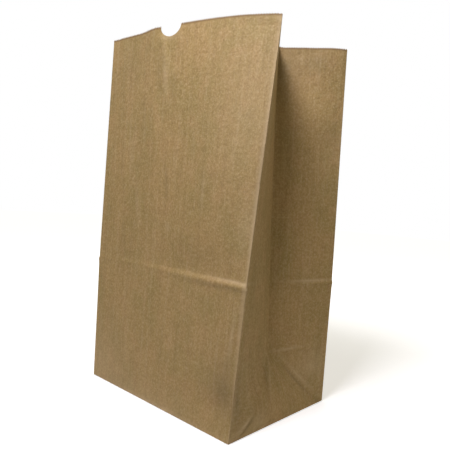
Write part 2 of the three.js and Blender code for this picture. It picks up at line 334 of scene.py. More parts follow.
# %% Lines along the seam
seam_step = 0.3 * mm
seam_settle = 10 * mm
seam_snap = 0.02 * mm
seam_stops = [0, seam_step, seam_lap, seam_lap + seam_step, seam_lap + seam_settle]
for along in seam_stops:
    middles = face_middles(bag)
    seam_x = half_width - seam_place - along
    crossed = (middles[:, 1] > half_depth - hair) & (np.abs(middles[:, 0] - seam_x) < tooth_pitch)
    open_with(bag, "FACE", crossed)
    bpy.ops.mesh.bisect(plane_co=(seam_x, half_depth, 0), plane_no=(1, 0, 0), threshold=seam_snap)
    close_edit()
print("faces with the seam's lines:", len(bag.data.polygons))

# %% [markdown]
# The slanting folds at the foot of each pleat run from the bottom's corners to the apex. Without
# edges along them the cells would bend the wrong way across the fold. The vertices on them are
# picked by place and joined by edges across the cells' corners.

# %% Slanting folds
straight = places(bag)
side_run = half_depth - np.abs(straight[:, 1])
on_side = np.abs(np.abs(straight[:, 0]) - half_width) < speck
slant = side_run / half_depth * apex_height
on_slant = on_side & (np.abs(straight[:, 2] - slant) < hair)
for side in (-1, 1):
    for end in (-1, 1):
        chosen = on_slant & (side * straight[:, 0] > 0) & (end * straight[:, 1] > -speck)
        open_with(bag, "VERT", chosen)
        bpy.ops.mesh.vert_connect()
        close_edit()
print("vertices on the slanting folds:", int(on_slant.sum()))

# %% [markdown]
# A map of the paper. Streaks and fibres run along the sheet, not along the room, so each face
# corner is given its place on the unfolded paper, in metres: first the way round the bag, from the
# front left edge, and then the height. The bottom lies below the front wall on this map. The unwrap
# tool would find some such map, but this one is exact, and later steps read places from it too.

# %% Panels of the straight bag
pleat_stretch = pleat_paper / bag_depth
panel_widths = np.array([bag_width, pleat_paper, bag_width, pleat_paper, bag_width])
panel_starts = np.append(np.cumsum([0, bag_width, pleat_paper, bag_width]), 0)
bottom_panel = 4


def panel_of(points):
    """Which panel each point of the straight bag lies on: 0 front, 1 right, 2 rear, 3 left, 4 bottom.
    A point on the bottom's border counts as a wall's."""
    gaps = np.stack([
        np.abs(points[:, 1] + half_depth),
        np.abs(points[:, 0] - half_width),
        np.abs(points[:, 1] - half_depth),
        np.abs(points[:, 0] + half_width),
        np.abs(points[:, 2]) + speck,
    ])
    return gaps.argmin(axis=0)


def along_panel(points, panel):
    """How far along its panel each point lies, on the paper."""
    runs = np.stack([
        points[:, 0] + half_width,
        (points[:, 1] + half_depth) * pleat_stretch,
        half_width - points[:, 0],
        (half_depth - points[:, 1]) * pleat_stretch,
        points[:, 0] + half_width,
    ])
    return runs[panel, np.arange(len(points))]


print("faces on each panel:", np.bincount(panel_of(face_middles(bag))))

# %% Paper map
corner_count = read(bag.data.polygons, "loop_total", kind=int)
corner_panel = np.repeat(panel_of(face_middles(bag)), corner_count)
corner_place = places(bag)[read(bag.data.loops, "vertex_index", kind=int)]
paper_across = along_panel(corner_place, corner_panel) + panel_starts[corner_panel]
below_front = -(corner_place[:, 1] + half_depth)
paper_height = np.where(corner_panel == bottom_panel, below_front, corner_place[:, 2])
for layer in list(bag.data.uv_layers):
    bag.data.uv_layers.remove(layer)
paper_map = bag.data.uv_layers.new(name="paper_map")
paper_map.data.foreach_set("uv", np.stack([paper_across, paper_height], axis=1).ravel())
print("paper map runs to", (np.array([paper_across.max(), paper_height.max()]) / mm).round(), "mm")

# %% [markdown]
# Folding. The straight bag is now moved to the folded shape. It could be posed with bones or
# lattices, but a fold keeps lengths and they stretch. So the folded place of every point is worked
# out from its place on the paper. First come the four upright edges, which lean a little and bend
# at the crease, then the walls between them, which swell towards the rim.

# %% Upright edges
def edge_points(name, height):
    """Places of an upright edge at some heights of the paper. The edge bends at its crease."""
    edge = edges[name]
    base, at_crease, at_rim = (np.array(edge[key]) for key in ("base", "at_crease", "at_rim"))
    paper_stops = [0, apex_height, crease_height, bag_height]
    edge_stops = [0, apex_height, edge["crease"], bag_height]
    own = np.interp(height, paper_stops, edge_stops)
    upper_length = bag_height - edge["crease"]
    lower_rise = np.sqrt(edge["crease"] ** 2 - (at_crease ** 2).sum())
    upper_rise = np.sqrt(upper_length ** 2 - ((at_rim - at_crease) ** 2).sum())
    low = np.clip(own / edge["crease"], 0, 1)[:, None]
    high = np.clip((own - edge["crease"]) / upper_length, 0, None)[:, None]
    plan = base + at_crease * low + (at_rim - at_crease) * high
    return np.hstack([plan, lower_rise * low + upper_rise * high])


at_rim_height = np.array([bag_height])
for name in edges:
    print(name, "stands at", (edge_points(name, at_rim_height)[0] / mm).round(1), "mm at the rim")

# %% Walls
front_swell = 9.2 * mm
front_sharpness = (1.2, 3)
rear_swell = 8.5 * mm
rear_sharpness = 2
swell_growth = 1.2
ridge_swell, ridge_place, ridge_spread, ridge_ends = 2.0 * mm, 0.345, 0.07, 4


def outward(start, end):
    """Level direction out of the bag, for panels that run anticlockwise seen from above."""
    across = end - start
    level = np.stack([across[:, 1], -across[:, 0], np.zeros(len(across))], axis=1)
    return level / np.linalg.norm(level, axis=1)[:, None]


def arch(across, sharpness):
    """1 in the middle and 0 at the ends: a peak for a sharpness of 1, round for 2, flatter for more."""
    return 1 - np.abs(2 * across - 1) ** sharpness


def front_swell_at(across):
    sharpness = np.where(across < 0.5, *front_sharpness)
    ridge = ridge_swell * np.exp(-(((across - ridge_place) / ridge_spread) ** 2))
    return front_swell * arch(across, sharpness) + ridge * arch(across, ridge_ends)


def rear_swell_at(across):
    return rear_swell * arch(across, rear_sharpness)


def wall_points(start_name, end_name, swell_at, across, height):
    start, end = edge_points(start_name, height), edge_points(end_name, height)
    upper = np.clip((height - crease_height) / (bag_height - crease_height), 0, None)
    swell = (swell_at(across) * upper ** swell_growth)[:, None]
    return start + (end - start) * across[:, None] + outward(start, end) * swell


most_swell = front_swell_at(np.linspace(0, 1, wall_columns)).max()
print("the front wall swells by up to", round(most_swell / mm, 1), "mm at the rim")

# %% [markdown]
# The pleats let the bag fold flat. A pleat's two halves keep their width, so the depth of its centre
# fold isn't chosen but follows from how far apart its outer edges stand. At the foot, a flat
# triangle leans in from the bottom edge to the apex, and its two folds are a little bowed.

# %% Depth of the pleats
pleats = {
    "right": {"start": "front_right", "end": "rear_right", "bows": (0.12, 0.045)},
    "left": {"start": "rear_left", "end": "front_left", "bows": (0.05, 0.05)},
}


def pleat_edges(pleat, height):
    return edge_points(pleat["start"], height), edge_points(pleat["end"], height)


def depth_for(start, end):
    half_opening = np.linalg.norm(end - start, axis=1) / 2
    return np.sqrt((pleat_paper / 2) ** 2 - half_opening ** 2)


for side, pleat in pleats.items():
    rim_depth = depth_for(*pleat_edges(pleat, at_rim_height))[0]
    print(side, "pleat: its fold is", round(rim_depth / mm, 1), "mm deep at the rim")

# %% Points of a pleat
tiny = 1e-9


def centre_fold(pleat, height):
    start, end = pleat_edges(pleat, height)
    fold = (start + end) / 2 - outward(start, end) * depth_for(start, end)[:, None]
    apex_start, apex_end = pleat_edges(pleat, np.array([apex_height]))
    apex_rise = np.sqrt(apex_height ** 2 - depth_for(apex_start, apex_end)[0] ** 2)
    fold[:, 2] -= (apex_start[0, 2] + apex_end[0, 2]) / 2 - apex_rise
    return fold


def facet_points(pleat, across, part):
    """Points of the flat triangle, across its base and part of the way up to its apex."""
    start, end = pleat_edges(pleat, np.zeros(1))
    apex = centre_fold(pleat, np.array([apex_height]))
    return start + (end - start) * across[:, None] + (apex - (start + end) / 2) * part[:, None]


def mix(start, end, part):
    return start + (end - start) * part[:, None]


def pleat_points(pleat, across, height):
    start, end = pleat_edges(pleat, height)
    part = np.clip(height / apex_height, 0, 1)
    bow = np.sin(np.pi * np.sqrt(part))
    at_foot = (height < apex_height)[:, None]
    fold = centre_fold(pleat, np.maximum(height, apex_height))
    first = np.where(at_foot, facet_points(pleat, part / 2 + pleat["bows"][0] * bow, part), fold)
    second = np.where(at_foot, facet_points(pleat, 1 - part / 2 - pleat["bows"][1] * bow, part), fold)
    first_across = part / 2
    middle_span = np.maximum(1 - 2 * first_across, tiny)
    near = mix(start, first, across / np.maximum(first_across, tiny))
    far = mix(end, second, (1 - across) / np.maximum(first_across, tiny))
    middle = mix(first, second, (across - first_across) / middle_span)
    on_near = (across < first_across)[:, None]
    on_far = (across > 1 - first_across)[:, None]
    return np.where(on_near, near, np.where(on_far, far, middle))


# %% Folded places of the whole sheet
straight = places(bag)
panel = panel_of(straight)
run = along_panel(straight, panel)
across = run / panel_widths[panel]
height = straight[:, 2]
panel_makers = [
    lambda t, z: wall_points("front_left", "front_right", front_swell_at, t, z),
    lambda t, z: pleat_points(pleats["right"], t, z),
    lambda t, z: wall_points("rear_right", "rear_left", rear_swell_at, t, z),
    lambda t, z: pleat_points(pleats["left"], t, z),
]
folded = straight.copy()
for number, maker in enumerate(panel_makers):
    here = panel == number
    folded[here] = maker(across[here], height[here])
print("folded vertices:", len(folded))

# %% The sheet stands where the solid model does
checked_step = 7
cad_low, cad_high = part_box("paper_bag")
shift = np.array((cad_low + cad_high) / 2) - (folded.min(axis=0) + folded.max(axis=0)) / 2
shift[2] = cad_low.z + 2 * paper_thickness + paper_thickness / 2
folded += shift
set_places(bag, folded)

cad_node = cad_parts["paper_bag"]
cad_tree = BVHTree.FromObject(cad_node, bpy.context.evaluated_depsgraph_get())
gaps = np.array([cad_tree.find_nearest(Vector(place))[3] for place in folded[::checked_step]])
print("moved by", (shift / mm).round(2), "mm; furthest from the solid:", round(gaps.max() / mm, 3), "mm")

# %% [markdown]
# Creases and dents. Used paper isn't smooth: where it was folded flat a ridge stays, and the walls
# keep soft bumps from handling. These are too wide to leave to a bump map, because they change the
# outline and catch the light, and sculpting them by hand couldn't be repeated. So formulas move the
# vertices out or in along the paper's own normal. Places on a panel are u along it and z up it. The
# lists below give them, and the heights of the relief, in millimetres.

# %% Soft shapes on the paper
def bump(distance, width):
    """A soft ridge: 1 on the line and fading to either side."""
    return np.exp(-((distance / width) ** 2))


def lopsided(distance, width_below, width_above):
    return bump(distance, np.where(distance < 0, width_below, width_above))


def dent(u, z, middle, reach):
    """A soft oval swelling, 1 high in the middle."""
    return np.exp(-(((u / mm - middle[0]) / reach[0]) ** 2) - ((z / mm - middle[1]) / reach[1]) ** 2)


def dents_of(u, z, dents):
    return sum(depth * dent(u, z, middle, reach) for depth, middle, reach in dents)


def line_ridge(u, z, stops, width):
    """A ridge along a bent line through stops, each (u, z, height), from the lowest up."""
    stop_u, stop_z, height_here = np.array(stops).T
    line_u = np.interp(z / mm, stop_z, stop_u)
    strength = np.interp(z / mm, stop_z, height_here, left=0, right=0)
    return strength * bump(u / mm - line_u, width)


# %% Waves, fades and profiles
def ripple(u, z, seed, length_u, length_z):
    """Soft random waves, about 1 high, of the given lengths across and up the paper."""
    return np.array([
        noise.noise(Vector((a / (length_u * mm), b / (length_z * mm), seed))) for a, b in zip(u, z)
    ])


def fade(value, start, end):
    part = np.clip((value - start) / (end - start), 0, 1)
    return part * part * (3 - 2 * part)


def profile(part, stops):
    """A height that follows the stops, each a part of the panel's width and the height there."""
    return np.interp(part, list(stops), list(stops.values()))


print("halfway through a fade:", fade(np.array([0.5]), 0, 1)[0])

# %% [markdown]
# The turn-up crease is the strongest line on the bag. Folded flat, the bottom was turned up against
# the front wall, and the paper never quite opens again. It is steep above its crest and gentler
# below, and its height changes along the panels: faint at the left of the front wall, and sharp at
# its right edge.

# %% Turn-up crease
crest_drop = 1.2 * mm
apron_reach = 22 * mm
front_crease_places = {0: 96.1 * mm, 0.5: 96.6 * mm, 1: 95.7 * mm}
front_crease_rise = {
    0: 0.15, 0.05: 0.2, 0.2: 0.2, 0.35: 0.2, 0.5: 0.22, 0.65: 0.35, 0.8: 0.62, 0.92: 1.6, 0.97: 2.0, 1: 1.2,
}
rear_crease_place = 93.8 * mm
rear_crease_rise = 0.6
pleat_crease_place = 94.2 * mm
pleat_crease_rise = {0: 0.9, 0.06: 0.1, 0.3: 0.05, 0.5: 0.1, 0.7: 1.0, 0.95: 1.0, 1: 0.5}


def turn_up_crease(distance, rise, lip_part, reach_above, reach_below):
    """A ridge whose lower side is a sharp lip and a wide apron, where the paper stands out a little."""
    crest = distance + crest_drop
    lower = lip_part * bump(crest, reach_below) + (1 - lip_part) * bump(crest, apron_reach)
    return rise * np.where(crest > 0, bump(crest, reach_above), lower)


print("the crease is up to", max(front_crease_rise.values()), "mm high on the front wall")

# %% [markdown]
# The front wall. Long soft ridges run up it from the times that it was pressed flat, the strongest
# one below the notch, and hands have left dents, the largest at the lower right. Random waves fill
# the rest. They are stronger below the crease and at the left, where the paper was pressed most, and
# fade out towards the upright edges, which stay straight apart from a small curl at the right one.

# %% Front wall's ridges and dents
# Each ridge is its stops and its width
front_ridges = [
    ([(73.2, 199, 0), (65.4, 219.4, 0.5), (65.9, 234.5, 0.9), (62.6, 248, 0.9), (60.5, 252.5, 0.5)], 2.8),
    ([(110, 140, 0), (109.6, 160, 0.4), (107, 212, 0.35), (106, 226, 0)], 2.6),
    ([(75, 130, 0), (74.2, 148.8, 0.35), (71.9, 182.5, 0.45), (71, 196, 0)], 2.4),
    ([(49, 180, 0), (47.9, 197, 0.3), (45, 223, 0.3), (44, 236, 0)], 2.4),
    ([(46, 112, 0), (45.5, 123, 0.4), (42.4, 154, 0.4), (41, 170, 0)], 2.2),
    ([(32, 100, 0), (31.2, 112.6, 0.35), (22.6, 187.6, 0.35), (21, 202, 0)], 2.4),
    ([(142, 40, 0), (143.9, 50, 0.6), (146.5, 69.3, 0.6), (148.5, 88, 0.4), (149, 95, 0)], 2.0),
    ([(80, 20, 0), (82, 40, 0.4), (84, 72, 0.4), (85, 90, 0)], 2.0),
    ([(121, 30, 0), (122, 50, 0.4), (124, 78, 0.45), (124, 92, 0)], 2.2),
]
# Each dent is its height, its middle and its reach in u and z
front_dents = [
    (-2.4, (140, 17), (17, 11)),
    (0.9, (152, 76), (10, 22)),
    (1.6, (140, 160), (26, 34)),
    (-0.9, (40, 240), (22, 30)),
    (-0.45, (74.8, 236), (5, 7)),
    (-0.4, (73.8, 216), (5, 8)),
    (-0.6, (142.3, 252), (7, 4)),
    (0.4, (149.9, 255), (4, 6)),
]
dip_above_crease = [(-1.3, (108, 101), (38, 14))]
# Each set of waves is its height, what the foot and the left add to it, its seed and its lengths
front_waves = [
    (0.15, 0.16, 0.1, 1.7, 10, 70),
    (0.1, 0.2, 0.14, 5.1, 4.2, 40),
]
foot_fade = (80 * mm, 110 * mm)
left_fade = (55 * mm, 90 * mm)
front_edge_fade = (0, 6 * mm)
curl_height, curl_reach = -0.6, 2.5 * mm
print("front wall:", len(front_ridges), "ridges and", len(front_dents), "dents")

# %% Relief of the front wall
def front_relief(u, z):
    part = u / bag_width
    crease = profile(part, front_crease_places)
    rise = profile(part, front_crease_rise)
    ridge = turn_up_crease(z - crease, rise, lip_part=0.5, reach_above=1.35 * mm, reach_below=2.4 * mm)
    ridges = sum(line_ridge(u, z, stops, width) for stops, width in front_ridges)
    dip = dents_of(u, z, dip_above_crease) * fade(z, crease - 3 * mm, crease + 1 * mm)
    dents = dents_of(u, z, front_dents)
    foot = 1 - fade(z, *foot_fade)
    left = 1 - fade(u, *left_fade)
    waves = sum(
        (everywhere + at_foot * foot + at_left * left) * ripple(u, z, *pattern)
        for everywhere, at_foot, at_left, *pattern in front_waves
    )
    edge_fade = fade(np.minimum(u, bag_width - u), *front_edge_fade)
    curl = curl_height * bump(bag_width - u, curl_reach)
    return mm * (ridge + dip + dents + curl + (ridges + waves) * edge_fade)


# %% Relief of the rear wall
rear_waves = [(0.22, 9.3, 12, 80), (0.07, 12.9, 5, 30)]
rear_edge_fade = (0, 8 * mm)


def rear_relief(u, z):
    distance = z - rear_crease_place
    ridge = turn_up_crease(
        distance, rear_crease_rise, lip_part=0.6, reach_above=1.9 * mm, reach_below=2.8 * mm
    )
    waves = sum(rise * ripple(u, z, *pattern) for rise, *pattern in rear_waves)
    return mm * (ridge + waves * fade(np.minimum(u, bag_width - u), *rear_edge_fade))


# %% [markdown]
# The pleats. Each has the turn-up crease, and on one half a lower crease near the apex and a swelling
# above the slanting fold, left from the bottom being pressed flat. The right one, which is drawn in
# deeper, also bulges at the rim and has dents of its own.

# %% Relief of the pleats
apex_crease_place, apex_crease_rise = 44.6 * mm, 0.9
slant_rise = 1.2
pleat_fold_fade = (0, 8 * mm)
rim_bulge = {0.5: 0, 0.54: -1.1, 0.67: 0.5, 0.8: 1.4, 0.9: 1.8, 0.97: 1.0, 1: 0}
bulge_start = 215 * mm
right_pleat_dents = [
    (-0.9, (74.7, 256), (7, 6)),
    (-0.6, (64, 254), (4, 6)),
    (0.9, (80, 212), (12, 16)),
    (-0.8, (90, 190), (10, 13)),
]


def pleat_relief(u, z, seed, bulge=0, dents=()):
    part = u / pleat_paper
    from_fold = np.abs(u - pleat_paper / 2)
    rise = profile(part, pleat_crease_rise)
    distance = z - pleat_crease_place
    ridge = turn_up_crease(distance, rise, lip_part=0.6, reach_above=1.3 * mm, reach_below=2.4 * mm)
    apex_crease = apex_crease_rise * lopsided(z - apex_crease_place, 2.2 * mm, 1.0 * mm)
    above_slant = (z - apex_height + from_fold) / 2**0.5
    slant_swell = slant_rise * lopsided(above_slant, 1.6 * mm, 15 * mm)
    low_relief = apex_crease * fade(part, 0.52, 0.6) + slant_swell * fade(part, 0.5, 0.56)
    rim_swell = bulge * profile(part, rim_bulge) * fade(z, bulge_start, valley_height)
    waves = 0.2 * ripple(u, z, seed, 10, 60) + 0.1 * ripple(u, z, seed + 3.3, 6, 22)
    end_fade = fade(1 - part, 0, 0.06)
    fold_fade = fade(np.minimum(from_fold, np.minimum(u, pleat_paper - u)), *pleat_fold_fade)
    hollows = dents_of(u, z, dents)
    return mm * (ridge + rim_swell + low_relief * end_fade + (hollows + waves) * fold_fade)


# %% The relief, laid on the sheet
tooth_bend = 0.12 * mm
bend_reach = 2 * mm


def crimp(u, z):
    """The knife that cuts the teeth bends each of them a little."""
    bend = np.cos(2 * pi * u / tooth_pitch) * fade(z, valley_height - bend_reach, valley_height)
    return -tooth_bend * bend


relief_makers = [
    front_relief,
    lambda u, z: pleat_relief(u, z, seed=21.4, bulge=1, dents=right_pleat_dents),
    rear_relief,
    lambda u, z: pleat_relief(u, z, seed=33.8),
]
relief = np.zeros(len(folded))
for number, maker in enumerate(relief_makers):
    here = (panel == number) & (height > speck)
    relief[here] = maker(run[here], height[here]) + crimp(run[here], height[here])

sheet_normals = read(bag.data.vertex_normals, "vector", 3)
set_places(bag, folded + sheet_normals * relief[:, None])
print("relief from", round(relief.min() / mm, 2), "to", round(relief.max() / mm, 2), "mm")

# %% [markdown]
# Rounded folds. Even a sharp paper fold has a radius of a few tenths of a millimetre, and it is
# what makes the thin line of light along the near edge. A Bevel modifier could pick the folds by
# their angle, but it would miss the shallow ones, so they are picked by place and bevelled.

# %% Edges that are folds
on_corner_edge = on_side & (np.abs(np.abs(straight[:, 1]) - half_depth) < speck)
on_border = height < speck
on_centre = on_side & (np.abs(straight[:, 1]) < speck) & (height > apex_height - hair)
ends = edge_ends(bag)
upright = np.abs(straight[ends[:, 0], 2] - straight[ends[:, 1], 2]) > hair


def both(marked):
    return marked[ends].all(axis=1)


slanting = both(on_slant) & upright & ~both(on_corner_edge)
fold_edges = (both(on_corner_edge) & upright) | both(on_border) | both(on_centre) | slanting
print("fold edges:", int(fold_edges.sum()))

# %% Rounded folds
fold_radius = 0.35 * mm
open_with(bag, "EDGE", fold_edges)
bpy.ops.mesh.bevel(offset=fold_radius, offset_type="OFFSET", segments=2, affect="EDGES", clamp_overlap=True)
close_edit()
print("faces with rounded folds:", len(bag.data.polygons))

# %% [markdown]
# The paper's thickness. Seen at the rim, paper without it would vanish edge on. Solidify gives the
# sheet a second skin, half a thickness either side of the folded surface. Even offset keeps the
# paper as thick in the folds as it is on the walls.

# %% Thickness
def give_thickness(piece, thickness):
    bpy.context.view_layer.objects.active = piece
    solidify = piece.modifiers.new("thickness", "SOLIDIFY")
    solidify.thickness = thickness
    solidify.offset = 0
    solidify.use_even_offset = True
    bpy.ops.object.modifier_apply(modifier=solidify.name)


middle_places = places(bag)
middle_count = len(middle_places)
give_thickness(bag, paper_thickness)
skin_normals = read(bag.data.vertex_normals, "vector", 3)
thick = places(bag)
first_skin_out = ((thick[:middle_count] - middle_places) * skin_normals[:middle_count]).sum(axis=1)
print("first skin moved out by", (np.percentile(first_skin_out, [0, 50, 100]) / mm).round(3), "mm")

# %% [markdown]
# The seam's step can only be raised now that the paper has its two skins, because only the outer one
# steps up. From its cut edge on, the upper layer stands out by the paper's thickness, and past
# seam_settle it is level with the wall again.

# %% The seam's step
def vertex_map(piece):
    """The place on the paper map of each vertex."""
    on_map = np.zeros((len(piece.data.vertices), 2))
    at_corner = read(piece.data.loops, "vertex_index", kind=int)
    on_map[at_corner] = read(piece.data.uv_layers["paper_map"].data, "uv", 2)
    return on_map


along_seam = vertex_map(bag)[:, 0] - panel_starts[2] - seam_place
above_bottom = thick[:, 2] > cad_low.z + 4 * paper_thickness
on_first_skin = np.arange(len(thick)) < middle_count
step = np.interp(along_seam, [0, seam_step, seam_settle], [0, 1, 1], left=0, right=0)
rise = step * on_first_skin * above_bottom * paper_thickness
set_places(bag, thick + skin_normals * rise[:, None])
print("seam raises", int((rise > 0).sum()), "vertices by up to", round(rise.max() / mm, 2), "mm")

# %% [markdown]
# The bottom's flaps. Outside, a flap folds in from the front and another from the rear is glued
# over it. Inside, two triangles fold in from the sides over the front flap. They could be drawn out
# of the walls' foot, but glued layers only touch there, so each is a flat outline of its own with
# the paper's thickness.

# %% A layer of the bottom
layer_gap = 0.01 * mm


def paper_layer(name, outline, layer):
    """A flat piece of paper. The bottom of the sheet is layer 2, and layer 0 lies on the table."""
    bpy.ops.object.select_all(action="DESELECT")
    bpy.ops.mesh.primitive_circle_add(vertices=len(outline), fill_type="NGON", radius=bag_width)
    piece = bpy.context.object
    piece.name = piece.data.name = name
    level = cad_low.z + (layer + 0.5) * paper_thickness
    flat = np.array([(x, y, 0) for x, y in outline])
    set_places(piece, flat + (shift[0], shift[1], level))
    mapped = piece.data.uv_layers.new(name="paper_map")
    for corner in piece.data.loops:
        x, y, _ = flat[corner.vertex_index]
        mapped.data[corner.index].uv = (x + half_width, y + half_depth)
    give_thickness(piece, paper_thickness - layer_gap)
    return piece


# %% Flaps and side triangles
tuck = 0.3 * mm
inner_depth = half_depth - tuck


def flap_outline(left, right, fold_y, inward):
    reach_y = fold_y + inward * flap_reach
    corners = [
        (left + tuck, fold_y + inward * tuck),
        (right - tuck, fold_y + inward * tuck),
        (right - flap_reach, reach_y),
        (left + flap_reach, reach_y),
    ]
    return corners if inward > 0 else corners[::-1]


def side_outline(side):
    near, far = side * half_width, side * half_width + rear_skew
    middle = (near + far) / 2 - side * inner_depth
    corners = [(near - side * tuck, -inner_depth), (far - side * tuck, inner_depth), (middle, 0)]
    return corners if side > 0 else corners[::-1]


front_fold = (-half_width, half_width, -half_depth, 1)
rear_fold = (-half_width + rear_skew, half_width + rear_skew, half_depth, -1)
layers = [
    paper_layer("rear_flap", flap_outline(*rear_fold), 0),
    paper_layer("front_flap", flap_outline(*front_fold), 1),
    paper_layer("front_flap_inside", flap_outline(*front_fold), 3),
    paper_layer("left_triangle", side_outline(-1), 4),
    paper_layer("right_triangle", side_outline(1), 4),
]
print("bottom layers:", [piece.name for piece in layers])

# %% One piece, with its shading
smooth_below = radians(40)
for piece in layers:
    piece.select_set(True)
bag.select_set(True)
bpy.context.view_layer.objects.active = bag
bpy.ops.object.join()
bpy.ops.object.shade_smooth_by_angle(angle=smooth_below)
weighted = bag.modifiers.new("flat walls", "WEIGHTED_NORMAL")
weighted.keep_sharp = True
bpy.ops.object.modifier_apply(modifier=weighted.name)
triangle_count = sum(len(face.vertices) - 2 for face in bag.data.polygons)
print("the bag has", triangle_count, "triangles")

# %% [markdown]
# Helpers for materials. A node tree can be wired by hand in the shader editor, and in a script each
# kind of step gets a helper, so that the tree reads as a list of what is laid on the paper.

# %% Nodes, ramps and tints
def add_node(tree, kind, **settings):
    node = tree.nodes.new(kind)
    for key, value in settings.items():
        if hasattr(node, key):
            setattr(node, key, value)
        else:
            node.inputs[key].default_value = value
    return node


def ramp(tree, value, start, end, to_start=0.0, to_end=1.0):
    curve = add_node(tree, "ShaderNodeMapRange")
    for name, number in zip(("From Min", "From Max", "To Min", "To Max"), (start, end, to_start, to_end)):
        curve.inputs[name].default_value = number
    tree.links.new(value, curve.inputs["Value"])
    return curve.outputs["Result"]


def tint(tree, colour, other, amount):
    """Blends a colour towards another one by an amount from 0 to 1."""
    blend = add_node(tree, "ShaderNodeMix", data_type="RGBA")
    first, second = (socket for socket in blend.inputs if socket.type == "RGBA")
    if isinstance(colour, tuple):
        first.default_value = colour
    else:
        tree.links.new(colour, first)
    second.default_value = other
    tree.links.new(amount, blend.inputs["Factor"])
    return next(socket for socket in blend.outputs if socket.type == "RGBA")


# %% Patterns on the paper map
def mapped_noise(tree, place, scale, detail, roughness=0.5):
    """Noise whose pattern is stretched by giving each direction its own scale."""
    mapping = add_node(tree, "ShaderNodeMapping", Scale=scale)
    pattern = add_node(tree, "ShaderNodeTexNoise", Scale=1, Detail=detail, Roughness=roughness)
    tree.links.new(place, mapping.inputs["Vector"])
    tree.links.new(mapping.outputs["Vector"], pattern.inputs["Vector"])
    return pattern.outputs["Fac"]


def soft_mark(tree, place, middle, reach, turn, strength):
    """An oval mark, strongest in the middle and turned to the left by degrees. In millimetres."""
    mapping = add_node(tree, "ShaderNodeMapping", vector_type="TEXTURE")
    mapping.inputs["Location"].default_value = (middle[0] * mm, middle[1] * mm, 0)
    mapping.inputs["Scale"].default_value = (reach[0] * mm, reach[1] * mm, 1)
    mapping.inputs["Rotation"].default_value = (0, 0, radians(turn))
    disc = add_node(tree, "ShaderNodeTexGradient", gradient_type="QUADRATIC_SPHERE")
    tree.links.new(place, mapping.inputs["Vector"])
    tree.links.new(mapping.outputs["Vector"], disc.inputs["Vector"])
    return ramp(tree, disc.outputs["Fac"], 0, 1, 0, strength)


# %% [markdown]
# Kraft paper. Its colour is a warm brown, uneven in several ways that are all fixed to the sheet:
# cloudy patches where the pulp lies thicker, faint streaks along the machine's direction, which is
# up the bag, a mottle, a fine grain, and short fibres, some darker and some paler. A picture of
# paper would repeat and blur close up, so each is a noise on the paper map. A noise tints the
# colour by an amount that grows from nothing at its start value to the strength at its end value.

# %% Colours and patterns of the paper
kraft_brown = (0.43, 0.287, 0.108, 1)
kraft_olive = (0.37, 0.261, 0.091, 1)
kraft_pink = (0.47, 0.297, 0.124, 1)
# The dark fibre colour also paints shade along the rim
dark_fibre_and_rim_shade = (0.22, 0.13, 0.055, 1)
# The pale fibre colour also paints highlights and light in the marks below
pale_fibre_and_highlight = (0.60, 0.45, 0.27, 1)
# The colour of painted shade
painted_shade_brown = (0.15, 0.105, 0.05, 1)
# Each pattern is its scale round the bag, up it and through the noise, its detail and its roughness
paper_patterns = {
    "clouds": ((34, 22, 1), 3),
    "patches": ((95, 70, 1), 3),
    "streaks": ((330, 14, 1), 4, 0.6),
    "mottle": ((300, 190, 5), 3),
    "grain": ((760, 560, 1), 4, 0.7),
    "dark fibres": ((2600, 620, 1), 2),
    "pale fibres": ((2200, 540, 3), 2),
}
# Each tint is its pattern, its colour, its start value, its end value and its strength
paper_tints = [
    ("clouds", kraft_olive, 0.40, 0.62, 1),
    ("patches", kraft_pink, 0.46, 0.70, 0.6),
    ("streaks", dark_fibre_and_rim_shade, 0.50, 0.80, 0.32),
    ("streaks", pale_fibre_and_highlight, 0.48, 0.22, 0.32),
    ("mottle", dark_fibre_and_rim_shade, 0.50, 0.75, 0.22),
    ("mottle", pale_fibre_and_highlight, 0.50, 0.25, 0.22),
    ("grain", dark_fibre_and_rim_shade, 0.48, 0.72, 0.5),
    ("grain", pale_fibre_and_highlight, 0.50, 0.28, 0.5),
    ("dark fibres", dark_fibre_and_rim_shade, 0.60, 0.78, 0.5),
    ("pale fibres", pale_fibre_and_highlight, 0.62, 0.78, 0.4),
]
print("paper:", len(paper_patterns), "patterns,", len(paper_tints), "tints")
